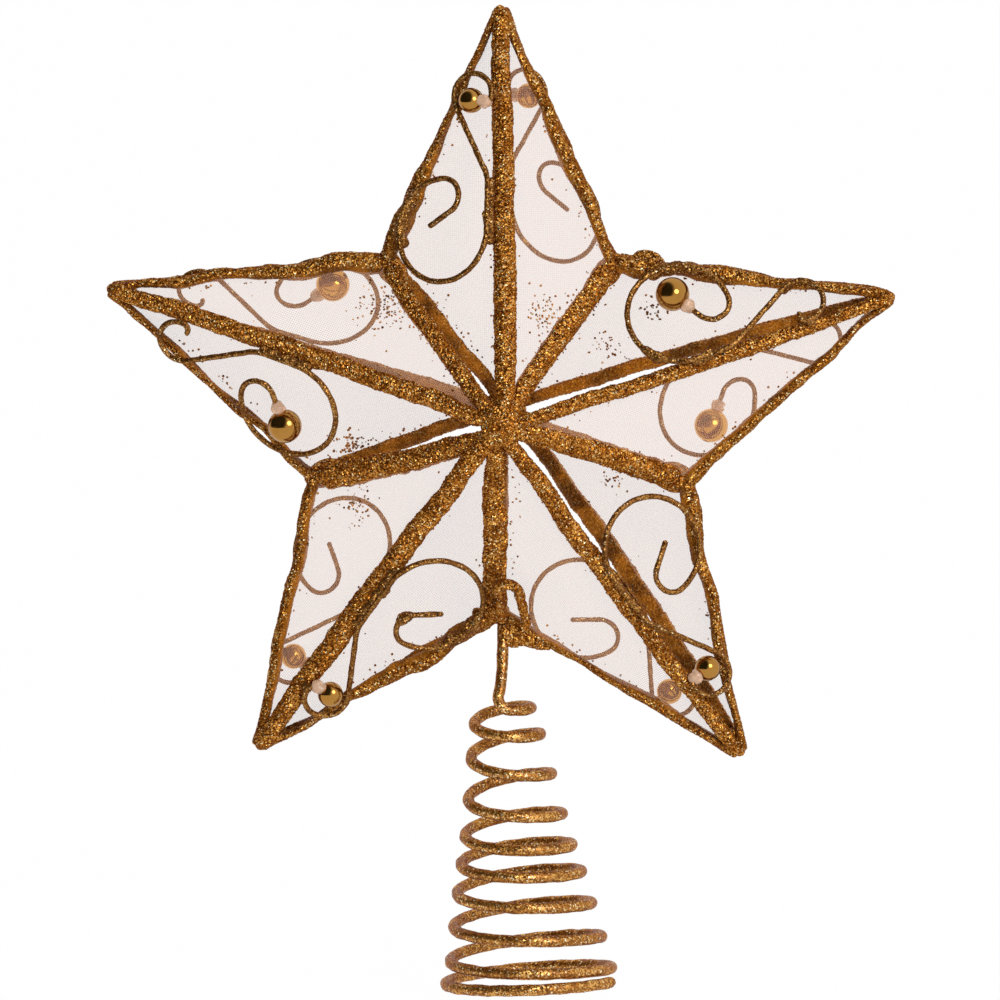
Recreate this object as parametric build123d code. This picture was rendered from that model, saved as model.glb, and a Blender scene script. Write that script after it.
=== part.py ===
from build123d import *
import math
import os

import numpy as np

os.makedirs("parts", exist_ok=True)

# A tree topper: a hollow wire star of two glued half shells on a conical wire spring.
# Millimetres and degrees. +Z is up, the front faces -Y, and the origin is the centre of the spring's mouth.

# Star frame
arm_count = 5
tip_radius = 98.0  # star centre to the end of an arm
valley_radius = 46.0  # star centre to the corner between two arms
apex_height = 24.0  # middle plane of the star to the hub of a half shell
outline_wire = 2.4  # wire diameters include the coat of glitter
ridge_wire = 3.4
valley_wire = 3.4
mesh_thickness = 0.4
valley_ball = 7.2  # diameter of the lump of glue in a corner
cap_end = 3.0  # diameter of the glue cap at the very end of an arm
glue_gap = 0.25  # left between pieces that glue holds together
film_gap = 0.05  # left round the drops of clear glue

# Scroll in the open facet of each arm
scroll_wire = 1.4
big_loop_radius = 12.2
big_loop_end = 180.0  # where on the loop its curl begins
big_curl_radius = 4.2
big_curl_turn = 150.0
big_bead_lead = 4.4  # straight wire between the curl and the bead
free_tail = 7.0  # straight end of a curl that carries no bead
bend_radius = 8.0  # where the wire meets the ridge and follows it to the loop
arm_middle = tip_radius / 2  # half way along an arm
arm_third_quarter = tip_radius * 3 / 4
bend_before = 6.0  # the bend comes this far before the arm's middle
bend_reach = arm_middle - bend_before  # tip to that bend, along the ridge
tip_curl_radius = 1.6
tip_curl_turn = 135.0  # where the curl ends free
bead_room = 1.5  # between the small bead and the loop round it
bead_side = 20.0  # the bead sits to this side of the loop's middle, from the ridge's line

# Beads
big_bead = 8.0
small_bead = 6.0
bead_grip = 1.5  # length of wire inside the bead's hole
glue_drop = 2.4  # diameter of the clear drop where the wire enters the bead
drop_stand = 0.5  # how far the middle of that drop stands off the bead

# Spring and stem, one wire on the real object
spring_wire = 2.7
spring_height = 65.4  # along the spring's axis, mouth to top turn
spring_top_radius = 6.4  # to the middle of the wire
spring_bottom_radius = 20.8
# Share of the height that each turn drops, top to bottom: pulled open by hand, and the last turn closes
turn_drops = [0.098, 0.145, 0.147, 0.115, 0.098, 0.116, 0.123, 0.116, 0.042]
spring_turns = len(turn_drops) - 0.05  # the wire stops just short of a whole turn
spring_lean = 5.7  # the axis leans left as it rises
coil_tilt = 3.0  # the turns lie less steeply than the axis leans
coil_nod_top = 8.0  # the top turn dips towards the front
coil_nod_bottom = -3.0  # and the bottom one rises a little
foot_turn = -0.19  # the stem joins the first turn this far before its right-hand side
stem_rise = 22.8  # top turn to the bottom corner of the star
star_side = -0.9  # the star stands this far to the side of the spring's top
stem_side = 0.8  # from the corner to the stem, towards the hook
stem_slope = 0.24  # forward travel of the stem for each millimetre down
stem_run = 12.0  # straight length, bottom corner to the bend

# Hook at the top of the stem, in front of the mesh beside the bottom corner
hook_wire = 2.3
hook_offset = 1.4  # from the valley's line to the first leg
hook_bend_radius = 2.4
hook_rise = 8.0  # corner to the start of the bend, along the valley
hook_foot = -1.0  # start of the first leg, inside the glue
hook_end = -0.9  # end of the second leg
hook_stand = 2.1  # mesh to the middle of the hook's wire, level with the corner
hook_lean = 10.0  # away from the mesh

quarter_turn = 0.25
arms_front = ["top", "left", "lower_left", "lower_right", "right"]
arms_back = ["top", "right", "lower_right", "lower_left", "left"]
corners_front = ["upper_left", "lower_left", "bottom", "lower_right", "upper_right"]
corners_back = ["upper_right", "lower_right", "bottom", "lower_left", "upper_left"]
bead_in_big_loop = ["left", "right"]
# The big loop's middle comes this far before the third quarter of the arm: the scrolls were bent by hand
loop_before_front = {"top": 20.5, "left": 22.5, "lower_left": 18.5, "lower_right": 20.0, "right": 24.0}
loop_before_back = {"top": 23.0, "left": 23.0, "lower_left": 23.5, "lower_right": 23.0, "right": 21.5}
# Tip to the middle of the big loop, along the ridge
loop_reach_front = {arm: arm_third_quarter - before for arm, before in loop_before_front.items()}
loop_reach_back = {arm: arm_third_quarter - before for arm, before in loop_before_back.items()}

# Points of the star
step = 360.0 / arm_count
outline_offset = (outline_wire + glue_gap) / 2
spring_axis = Vector(-math.sin(math.radians(spring_lean)), 0, math.cos(math.radians(spring_lean)))
spring_top = spring_axis * spring_height
stem_corner = spring_top + Vector(star_side, 0, stem_rise)
star_centre = stem_corner + Vector(0, 0, valley_radius)
turn_axis = Axis(star_centre, (0, -1, 0))
flip_axis = Axis(star_centre, (0, 0, 1))
front = Vector(0, -outline_offset, 0)
hub_front = star_centre + Vector(0, -apex_height, 0)


def ray(angle):
    return Vector(math.cos(math.radians(angle)), 0, math.sin(math.radians(angle)))


up = ray(90)
tip = star_centre + up * tip_radius
corner_left = star_centre + ray(90 + step / 2) * valley_radius
corner_right = star_centre + ray(90 - step / 2) * valley_radius
tip_front = tip + front
corner_left_front = corner_left + front
corner_right_front = corner_right + front
ridge_line = (hub_front - tip_front).normalized()
outline_line = (corner_left_front - tip_front).normalized()
facet_angle = ridge_line.get_angle(outline_line)
spoke_angle = (tip_front - hub_front).get_angle(corner_left_front - hub_front)


def clear_of(first, second, angle):
    """Distance from a corner at which two wires that leave it at this angle come apart."""
    half = math.radians(angle / 2)
    return (glue_gap + (first + second) / 2 * math.cos(half)) / (2 * math.sin(half))


cap_length = clear_of(ridge_wire, outline_wire, facet_angle)
hub_radius = clear_of(ridge_wire, valley_wire, spoke_angle)


def rod(begin, end, diameter):
    line = end - begin
    plane = Plane(origin=begin, z_dir=line)
    return extrude(plane * Circle(diameter / 2), line.length)


def off_ball(begin, line, centre, radius):
    """Distance along a line from begin at which a flat end just clears a ball."""
    return (centre - begin).dot(line) + radius + glue_gap


def off_cap(line, diameter):
    """Distance from the tip at which a wire just clears the flat base of the glue cap."""
    slant = math.radians(line.get_angle(-up))
    return (cap_length + glue_gap + diameter / 2 * math.sin(slant)) / math.cos(slant)


# Wires of the top arm
def outline_pair(corner):
    """The front half's wire along one side of the arm, and the back half's behind it."""
    line = (corner + front - tip_front).normalized()
    reach = (corner + front - tip_front).length
    begin = tip_front + line * off_cap(line, outline_wire)
    end = tip_front + line * (reach - off_ball(corner + front, -line, corner, valley_ball / 2))
    wire = rod(begin, end, outline_wire)
    return [wire, mirror(wire, about=Plane.XZ)]


def ridge():
    begin = tip_front + ridge_line * off_cap(ridge_line, ridge_wire)
    return rod(begin, hub_front - ridge_line * (hub_radius + glue_gap), ridge_wire)


def valley():
    line = (hub_front - corner_left_front).normalized()
    begin = corner_left_front + line * off_ball(corner_left_front, line, corner_left, valley_ball / 2)
    return rod(begin, hub_front - line * (hub_radius + glue_gap), valley_wire)


# Sheer mesh in the clockwise facet, inside its three wires
def mesh_panel():
    corners = [tip_front, corner_right_front, hub_front]
    insets = [outline_wire / 2, valley_wire / 2, ridge_wire / 2]
    normal = (corners[1] - corners[0]).cross(corners[2] - corners[0]).normalized()
    plane = Plane(origin=tip_front, x_dir=corners[1] - corners[0], z_dir=normal)
    flat = [plane.to_local_coords(corner) for corner in corners]
    edges = []
    for i, inset in enumerate(insets):
        along = (flat[(i + 1) % 3] - flat[i]).normalized()
        inward = Vector(-along.Y, along.X, 0)
        edges.append((flat[i] + inward * (inset + glue_gap), along))
    points = []
    for (at, along), (other, across) in zip(edges, edges[1:] + edges[:1]):
        reach = (other - at).cross(across).Z / along.cross(across).Z
        points.append(at + along * reach)
    face = make_face(Polyline(*points, close=True))
    plate = plane * extrude(face, mesh_thickness / 2, both=True)
    keep_out = Pos(corner_right) * Sphere(valley_ball / 2 + glue_gap)
    return plate - keep_out


# Scroll of arcs in the open facet: X runs from the tip along the ridge, Y from the ridge to the outline
def on_circle(centre, radius, angle):
    return centre + Vector(math.cos(math.radians(angle)), math.sin(math.radians(angle))) * radius


def heading(angle):
    return Vector(-math.sin(math.radians(angle)), math.cos(math.radians(angle)))


def scroll(big_end, reach):
    """The wire, a sleeve a little wider, the place of the bead on the wire's line, and the bead's diameter."""
    half_slope = math.tan(math.radians(facet_angle / 2))
    tip_loop_radius = small_bead / 2 + scroll_wire / 2 + bead_room
    big = Vector(reach, reach * half_slope)
    small = Vector(tip_loop_radius / half_slope, tip_loop_radius)
    run = big.Y - big_loop_radius
    bend = Vector(bend_reach, run + bend_radius)
    apart = bend - small
    lean = (bend_radius + tip_loop_radius) / apart.length
    across = apart.normalized()
    normal = across * lean + Vector(-across.Y, across.X) * math.sqrt(1 - lean * lean)
    leave = math.degrees(math.atan2(normal.Y, normal.X))
    tip_curl = on_circle(small, tip_loop_radius - tip_curl_radius, 270)
    big_curl = on_circle(big, big_loop_radius - big_curl_radius, big_loop_end)
    curl_end = on_circle(big_curl, big_curl_radius, big_loop_end + big_curl_turn)
    curl_way = heading(big_loop_end + big_curl_turn)
    if big_end:
        tip_turn = tip_curl_turn
        bead, way = big_bead, curl_way
        middle = curl_end + way * (big_bead_lead + bead / 2)
        ends = [Line(curl_end, middle - way * (bead / 2 - bead_grip))]
    else:
        bead = small_bead
        middle = on_circle(small, bead_room - glue_gap, bead_side)
        to_bead = middle - tip_curl
        touch = math.degrees(math.atan2(to_bead.Y, to_bead.X) - math.acos(tip_curl_radius / to_bead.length))
        tip_turn = touch + 90
        way = heading(touch)
        ends = [
            Line(on_circle(tip_curl, tip_curl_radius, touch), middle - way * (bead / 2 - bead_grip)),
            Line(curl_end, curl_end + curl_way * free_tail),
        ]
    runs = [
        CenterArc(tip_curl, tip_curl_radius, 270, tip_turn),
        CenterArc(small, tip_loop_radius, leave, 270 - leave),
        Line(small + normal * tip_loop_radius, bend - normal * bend_radius),
        CenterArc(bend, bend_radius, leave - 180, 90 - leave),
        Line((bend.X, run), (big.X, run)),
        CenterArc(big, big_loop_radius, -90, big_loop_end + 90),
        CenterArc(big_curl, big_curl_radius, big_loop_end, big_curl_turn),
    ]
    path = Wire(runs + ends)
    section = Plane(origin=path @ 0, z_dir=path % 0)
    wire = sweep(section * Circle(scroll_wire / 2), path=path)
    sleeve = sweep(section * Circle(scroll_wire / 2 + film_gap), path=path)
    return wire, sleeve, Plane(origin=middle, z_dir=way), bead


def bead_on_wire(place, bead):
    return place * (Sphere(bead / 2) - Cylinder(scroll_wire / 2 + glue_gap, 2 * bead))


def drop_on_bead(place, bead, sleeve):
    drop = Pos(0, 0, -bead / 2 - drop_stand) * Sphere(glue_drop / 2)
    return place * (drop - Sphere(bead / 2 + film_gap)) - sleeve


scroll_lift = max(ridge_wire, outline_wire) / 2 + scroll_wire / 2 + glue_gap
scroll_plane = Plane(origin=tip_front, x_dir=ridge_line, z_dir=ridge_line.cross(outline_line))
scroll_place = scroll_plane.location * Pos(0, 0, -scroll_lift)


# Lumps of glue
def tip_cap():
    ridge_slope = math.tan(math.radians(ridge_line.get_angle(-up)))
    outline_slope = math.tan(math.radians(outline_line.get_angle(-up)))
    deep = outline_offset + cap_length * ridge_slope + ridge_wire / 2
    wide = cap_length * outline_slope + outline_wire / 2
    middle = tip - up * (cap_length / 2)
    return Plane(origin=middle, z_dir=up) * Cone(max(deep, wide), cap_end / 2, cap_length)


def stem_hook():
    """Ball of glue in the bottom corner, with the stem's hooked end standing out of it."""
    valley_line = (hub_front - corner_right_front).normalized()
    to_tip = tip_front - corner_right_front
    across = (to_tip - valley_line * to_tip.dot(valley_line)).normalized()
    outward = across.cross(valley_line)
    lean = math.radians(hook_lean)
    rise = valley_line * math.cos(lean) + outward * math.sin(lean)
    far_leg = hook_offset + 2 * hook_bend_radius
    path = Wire(
        [
            Line((hook_offset, hook_foot), (hook_offset, hook_rise)),
            CenterArc((hook_offset + hook_bend_radius, hook_rise), hook_bend_radius, 180, -180),
            Line((far_leg, hook_rise), (far_leg, hook_end)),
        ]
    )
    wire = sweep(Plane(origin=path @ 0, z_dir=path % 0) * Circle(hook_wire / 2), path=path)
    place = Plane(origin=corner_right_front + outward * hook_stand, x_dir=across, z_dir=across.cross(rise))
    ball = Pos(corner_right) * Sphere(valley_ball / 2)
    return around(ball + place * wire, arms_front.index("lower_right"), False)


# Spring: turns counted down from the right-hand side of the top one, left-hand wound
def spring_drop(turn):
    """Share of the height dropped since the top turn, smooth from one turn to the next."""
    last = len(turn_drops) - 1
    at = min(max(math.floor(turn), 0), last)
    drop = turn_drops[at]
    begin = drop if at == 0 else (turn_drops[at - 1] + drop) / 2
    end = 0 if at == last else (drop + turn_drops[at + 1]) / 2
    if turn < 0:
        return begin * turn
    part = turn - at
    square, cube = 3 * drop - 2 * begin - end, begin + end - 2 * drop
    return sum(turn_drops[:at]) + part * (begin + part * (square + part * cube))


def spring_point(turn):
    angle = 2 * math.pi * turn
    height = spring_height * (1 - spring_drop(turn))
    grow = (spring_bottom_radius - spring_top_radius) / spring_turns
    radius = spring_top_radius + grow * max(turn, 0)
    tilt = math.radians(coil_tilt)
    nod = math.radians(coil_nod_top + (coil_nod_bottom - coil_nod_top) * turn / spring_turns)
    side = Vector(math.cos(tilt), 0, math.sin(tilt)) * math.cos(angle)
    fore = Vector(0, math.cos(nod), math.sin(nod)) * math.sin(angle)
    return spring_axis * height + (side + fore) * radius


def spring_way(turn):
    small_step = 1e-4
    return (spring_point(turn + small_step) - spring_point(turn - small_step)).normalized()


def biarc(begin, begin_way, end, end_way):
    """Two arcs that leave begin and reach end along the given ways."""
    chord = end - begin
    ways = begin_way + end_way
    spread = 2 * (1 - begin_way.dot(end_way))
    along = chord.dot(ways)
    reach = (math.sqrt(along * along + spread * chord.dot(chord)) - along) / spread
    first, second = begin + begin_way * reach, end - end_way * reach
    middle = (first + second) / 2
    return [
        TangentArc(begin, middle, tangent=begin_way),
        TangentArc(middle, end, tangent=second - first),
    ]


stem_way = Vector(0, -stem_slope, -1).normalized()
stem_start = stem_corner + Vector(stem_side, 0, 0)
stem_end = stem_start + stem_way * stem_run


def spring_path():
    begin_turn = foot_turn + glue_gap / (2 * math.pi * spring_top_radius)
    count = math.ceil((spring_turns - begin_turn) / quarter_turn)
    turns = [begin_turn + (spring_turns - begin_turn) * i / count for i in range(count + 1)]
    arcs = []
    for begin, end in zip(turns, turns[1:]):
        arcs += biarc(spring_point(begin), spring_way(begin), spring_point(end), spring_way(end))
    return arcs


def least_gap(arcs):
    """Smallest clear distance between stretches of the wire that aren't neighbours along it."""
    samples_per_arc = 24
    points = np.array([tuple(arc @ (i / samples_per_arc)) for arc in arcs for i in range(samples_per_arc)])
    along = np.concatenate([[0], np.cumsum(np.linalg.norm(np.diff(points, axis=0), axis=1))])
    apart = np.linalg.norm(points[:, None] - points[None, :], axis=2)
    far = np.abs(along[:, None] - along[None, :]) > math.pi * spring_top_radius
    return apart[far].min() - spring_wire


def tree_spring():
    arcs = spring_path()
    path = Wire(arcs)
    print("spring wire", round(path.length, 1), "mm, least gap", round(least_gap(arcs), 2))
    print("tightest bend of the spring", round(min(arc.radius for arc in arcs), 2))
    solid = sweep(Plane(origin=path @ 0, z_dir=path % 0) * Circle(spring_wire / 2), path=path)
    expected = math.pi * (spring_wire / 2) ** 2 * path.length
    print("spring volume over section times length", round(solid.volume / expected, 4))
    return solid


def stem_wire():
    begin = stem_start + stem_way * (valley_ball / 2 + glue_gap)
    foot = biarc(stem_end, stem_way, spring_point(foot_turn), spring_way(foot_turn))
    print("tightest bend of the stem", round(min(arc.radius for arc in foot), 2))
    path = Wire([Line(begin, stem_end)] + foot)
    return sweep(Plane(origin=begin, z_dir=stem_way) * Circle(spring_wire / 2), path=path)


def write(node, solids):
    shape = solids[0] if len(solids) == 1 else Compound(children=solids)
    shape.label = node
    export_step(shape, f"parts/{node}.step")


def solid_of(shape):
    return shape.solids()[0]


def around(shape, index, back):
    """Carry a piece of the front top arm to another arm, and to the back half."""
    turned = solid_of(shape).rotate(turn_axis, step * index)
    return turned.rotate(flip_axis, 180) if back else turned


for index, arm in enumerate(arms_front):
    for corner, place in ((index, corner_left), (index - 1, corner_right)):
        pair = [around(wire, index, False) for wire in outline_pair(place)]
        write(f"{arm}_to_{corners_front[corner]}_outline_wires", pair)
ridge_rod, valley_rod, panel = ridge(), valley(), mesh_panel()
halves = (
    ("front", arms_front, corners_front, loop_reach_front),
    ("back", arms_back, corners_back, loop_reach_back),
)
drops = []
for half, arms, corners, loop_reach in halves:
    back = half == "back"
    beads = []
    for index, (arm, corner) in enumerate(zip(arms, corners)):
        write(f"{half}_{arm}_ridge_wire", [around(ridge_rod, index, back)])
        write(f"{half}_{corner}_valley_wire", [around(valley_rod, index, back)])
        write(f"{half}_{arm}_mesh_panel", [around(panel, index, back)])
        wire, sleeve, place, bead = scroll(arm in bead_in_big_loop, loop_reach[arm])
        write(f"{half}_{arm}_scroll_wire", [around(scroll_place * wire, index, back)])
        beads.append(around(scroll_place * bead_on_wire(place, bead), index, back))
        drops.append(around(scroll_place * drop_on_bead(place, bead, sleeve), index, back))
    write(f"{half}_beads", beads)
write("bead_glue_drops", drops)
hub = Pos(hub_front) * Sphere(hub_radius)
write("hub_glue", [around(hub, 0, False), around(hub, 0, True)])
write("tip_glue", [around(tip_cap(), index, False) for index in range(arm_count)])
corner_ball = Pos(corner_left) * Sphere(valley_ball / 2)
write("valley_glue", [around(corner_ball, i, False) for i, name in enumerate(corners_front) if name != "bottom"])
write("stem_hook", [solid_of(stem_hook())])
write("stem_wire", [solid_of(stem_wire())])
write("tree_spring", [solid_of(tree_spring())])
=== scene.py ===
import math
from types import SimpleNamespace as Sizes

import bpy
import numpy as np
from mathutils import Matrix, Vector


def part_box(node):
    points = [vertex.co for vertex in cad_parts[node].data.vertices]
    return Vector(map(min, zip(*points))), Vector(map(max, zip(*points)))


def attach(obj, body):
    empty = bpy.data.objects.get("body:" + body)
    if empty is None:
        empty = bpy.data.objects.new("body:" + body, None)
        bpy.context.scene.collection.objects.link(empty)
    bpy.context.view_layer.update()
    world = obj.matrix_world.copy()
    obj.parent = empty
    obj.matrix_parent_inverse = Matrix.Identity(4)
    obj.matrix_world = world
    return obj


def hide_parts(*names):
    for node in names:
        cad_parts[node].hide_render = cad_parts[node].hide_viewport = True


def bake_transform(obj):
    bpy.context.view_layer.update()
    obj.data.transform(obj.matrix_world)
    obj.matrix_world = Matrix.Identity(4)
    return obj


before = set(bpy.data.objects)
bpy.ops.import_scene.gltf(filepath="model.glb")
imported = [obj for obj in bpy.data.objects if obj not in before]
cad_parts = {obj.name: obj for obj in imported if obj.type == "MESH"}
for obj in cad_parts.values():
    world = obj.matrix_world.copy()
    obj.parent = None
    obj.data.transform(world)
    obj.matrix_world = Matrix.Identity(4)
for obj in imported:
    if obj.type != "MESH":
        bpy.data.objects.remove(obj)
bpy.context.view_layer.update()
print("frame loaded:", len(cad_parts), "nodes")

metre = 0.001  # sizes below are in millimetres, meshes in metres
scene = bpy.context.scene


# vectors scaled to length one
def unit(vectors):
    vectors = np.asarray(vectors, float)
    return vectors / np.linalg.norm(vectors, axis=-1, keepdims=True)


# a path at even steps along its first three columns, any other columns carried with it
def resample(path, step):
    path = np.asarray(path, float)
    hops = np.linalg.norm(np.diff(path[:, :3], axis=0), axis=1)
    reach = np.concatenate([[0], np.cumsum(hops)])
    even = np.linspace(0, reach[-1], max(int(reach[-1] / step), 4) + 1)
    return np.stack([np.interp(even, reach, column) for column in path.T], 1), even


# cosine waves along a wire and round it, in random phase, added up to a spread of about one
def waves(rng, along, around, spacing, count=14):
    pace = 2 * np.pi / (spacing * rng.uniform(0.6, 1.7, count))
    ripples = rng.integers(0, 4, count)
    phase = rng.uniform(0, 2 * np.pi, count)
    field = np.cos(along[:, None, None] * pace + around[None, :, None] * ripples + phase)
    return field.sum(2) * math.sqrt(2 / count)


def circleAngles(sides):
    return np.linspace(0, 2 * np.pi, sides, endpoint=False)


# a size given once, or at even stations from one end to the other
def stations(share, sizes):
    sizes = np.atleast_1d(np.asarray(sizes, float))
    return np.interp(share, np.linspace(0, 1, len(sizes)), sizes)


def smoothStep(low, high, value):
    ramp = np.clip((value - low) / (high - low), 0, 1)
    return ramp * ramp * (3 - 2 * ramp)


# how every coat is drawn: spacing of its wander, limits of its swelling, how its ends round off, and the
# range of facing over which it counts as inner
coating = Sizes(wander=22.0, thinnest=0.62, thickest=1.7, rounding=0.9, end=0.06, inner=(0.1, 0.8))


# a wire under a lumpy coat: an oval ring, half width along side and half depth across it, carried
# along the path, swollen by waves, roughened point by point and rounded off over both ends
def coatedWire(rng, path, side, halfWidth, halfDepth, coat, inwards=None, wander=0.0):
    path = np.asarray(path, float)
    side = np.broadcast_to(np.asarray(side, float), path.shape)
    rows, along = resample(np.hstack([path, side]), coat.step)
    path, side = rows[:, :3], rows[:, 3:6]
    tangent = unit(np.gradient(path, axis=0))
    across = unit(side - (side * tangent).sum(1, keepdims=True) * tangent)
    deep = np.cross(tangent, across)
    if wander:
        path = path + across * (wander * waves(rng, along, np.zeros(1), coating.wander))
    around = circleAngles(coat.sides)
    swell = 1 + coat.lump * waves(rng, along, around, coat.spacing)
    swell = np.clip(swell, coating.thinnest, coating.thickest)
    grain = rng.normal(0, coat.grain, swell.shape)
    share = along / along[-1]
    wide = stations(share, halfWidth)[:, None] * swell + grain
    thick = stations(share, halfDepth)[:, None] * swell + grain
    rounding = np.maximum(stations(share, halfWidth) * coating.rounding, 1e-3)
    nearEnd = np.clip(1 - np.minimum(along, along[-1] - along) / rounding, 0, 1)
    close = np.maximum(np.sqrt(1 - nearEnd ** 2), coating.end)[:, None]
    ring = across[:, None, :] * (np.cos(around) * wide * close)[..., None]
    ring = ring + deep[:, None, :] * (np.sin(around) * thick * close)[..., None]
    inner = np.zeros(swell.shape)
    if inwards is not None:
        inner = smoothStep(*coating.inner, unit(ring) @ unit(inwards))
    return path[:, None, :] + ring, inner


# a lump: an oval of three half sizes along side, across and axis, swollen by waves and roughened
def blob(rng, middle, axis, side, sizes, rough, rings=46, sides=52, spacing=1.1, pole=0.05):
    lumpy, grain = rough
    axis = unit(axis)
    side = unit(np.asarray(side) - np.dot(side, axis) * axis)
    third = np.cross(axis, side)
    turn = np.linspace(pole, np.pi - pole, rings)
    around = circleAngles(sides)
    wide = np.sin(turn)[:, None]
    swell = 1 + lumpy * waves(rng, turn, around, spacing) * wide
    swell = swell + rng.normal(0, grain, swell.shape) / max(sizes)
    ring = side * (np.cos(around) * wide * swell)[..., None] * sizes[0]
    ring = ring + third * (np.sin(around) * wide * swell)[..., None] * sizes[1]
    ring = ring - axis * (np.cos(turn)[:, None] * swell)[..., None] * sizes[2]
    return np.asarray(middle) + ring, np.zeros(swell.shape)


# one mesh of several closed grids: quads from ring to ring, a fan of triangles over each end
def closedMesh(name, grids):
    points, inner, quads, fans, base = [], [], [], [], 0
    for grid, shade in grids:
        rings, sides = grid.shape[:2]
        ids = base + np.arange(rings * sides).reshape(rings, sides)
        after = np.roll(ids, -1, axis=1)
        quads.append(np.stack([ids[:-1], after[:-1], after[1:], ids[1:]], -1).reshape(-1, 4))
        first = base + rings * sides
        fans.append(np.stack([np.full(sides, first), after[0], ids[0]], 1))
        fans.append(np.stack([np.full(sides, first + 1), ids[-1], after[-1]], 1))
        points += [grid.reshape(-1, 3), grid[0].mean(0)[None], grid[-1].mean(0)[None]]
        inner += [shade.ravel(), [shade[0].mean()], [shade[-1].mean()]]
        base = first + 2
    quads, fans = np.concatenate(quads), np.concatenate(fans)
    return rawMesh(name, np.concatenate(points), [quads, fans], np.concatenate(inner))


# vertices, then faces sorted by their number of corners, put into the mesh as whole arrays
def rawMesh(name, points, faceGroups, inner=None):
    mesh = bpy.data.meshes.new(name)
    mesh.vertices.add(len(points))
    mesh.vertices.foreach_set("co", (np.asarray(points) * metre).astype(np.float32).ravel())
    corners = np.concatenate([group.ravel() for group in faceGroups]).astype(np.int32)
    counts = np.concatenate([np.full(len(group), group.shape[1]) for group in faceGroups])
    starts = np.concatenate([[0], np.cumsum(counts)[:-1]]).astype(np.int32)
    mesh.loops.add(len(corners))
    mesh.loops.foreach_set("vertex_index", corners)
    mesh.polygons.add(len(starts))
    mesh.polygons.foreach_set("loop_start", starts)
    mesh.update(calc_edges=True)
    mesh.validate()
    if inner is not None:
        shade = mesh.attributes.new("inner", "FLOAT", "POINT")
        shade.data.foreach_set("value", np.asarray(inner, np.float32))
    return mesh


def addPiece(mesh, material, body="star", nodes=(), smooth=False):
    mesh.materials.append(material)
    mesh.polygons.foreach_set("use_smooth", np.full(len(mesh.polygons), smooth))
    piece = bpy.data.objects.new(mesh.name, mesh)
    scene.collection.objects.link(piece)
    if body:
        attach(piece, body)
    if nodes:
        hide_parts(*nodes)
    return piece


# the inputs of a node, each given as a value or as the output that feeds it
def feed(tree, node, inputs):
    for key, value in inputs.items():
        if isinstance(value, bpy.types.NodeSocket):
            tree.links.new(value, node.inputs[key])
        else:
            node.inputs[key].default_value = value


def addNode(tree, kind, settings=None, inputs=None):
    made = tree.nodes.new(kind)
    for key, value in (settings or {}).items():
        setattr(made, key, value)
    feed(tree, made, inputs or {})
    return made


def mathNode(tree, operation, *values):
    return addNode(tree, "ShaderNodeMath", {"operation": operation}, dict(enumerate(values))).outputs[0]


def vectorNode(tree, operation, inputs):
    return addNode(tree, "ShaderNodeVectorMath", {"operation": operation}, inputs).outputs[0]


def rampNode(tree, value, low, high, toLow=0.0, toHigh=1.0):
    made = addNode(
        tree, "ShaderNodeMapRange", {"interpolation_type": "SMOOTHSTEP"},
        {"Value": value, "From Min": low, "From Max": high, "To Min": toLow, "To Max": toHigh},
    )
    return made.outputs["Result"]


def mixColour(tree, factor, first, second):
    return addNode(tree, "ShaderNodeMix", {"data_type": "RGBA"}, {0: factor, 6: first, 7: second}).outputs[2]


def mixShaders(tree, factor, first, second):
    return addNode(tree, "ShaderNodeMixShader", inputs={0: factor, 1: first, 2: second}).outputs[0]


# two shaders mixed as the surface of a material or of the surround
def mixSurface(tree, factor, first, second, output="Material Output"):
    tree.links.new(mixShaders(tree, factor, first, second), tree.nodes[output].inputs["Surface"])


# clouds of noise through the object, or by a given vector
def cloudNode(tree, scale, detail, place=None):
    if place is None:
        place = addNode(tree, "ShaderNodeTexCoord").outputs["Object"]
    clouds = addNode(tree, "ShaderNodeTexNoise", inputs={"Vector": place, "Scale": scale, "Detail": detail})
    return clouds.outputs["Fac"]


# how far a point faces inwards, as its mesh says; on a bead, whether it takes the back half's painted light
def innerNode(tree):
    return addNode(tree, "ShaderNodeAttribute", {"attribute_name": "inner"}).outputs["Fac"]


# Flakes: how much the patches count, the tones over which the painted shade of the Shadow tone turns copper
# and copper gold, and the ramps of metal and roughness, each from two limits to two values
flake = Sizes(
    patchy=0.9, copper=(0.15, 0.55), gold=(0.6, 1.0), metallic=(0.1, 0.9, 0.75, 0.95),
    rough=(0.0, 1.0, 0.5, 0.26),
)
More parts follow.
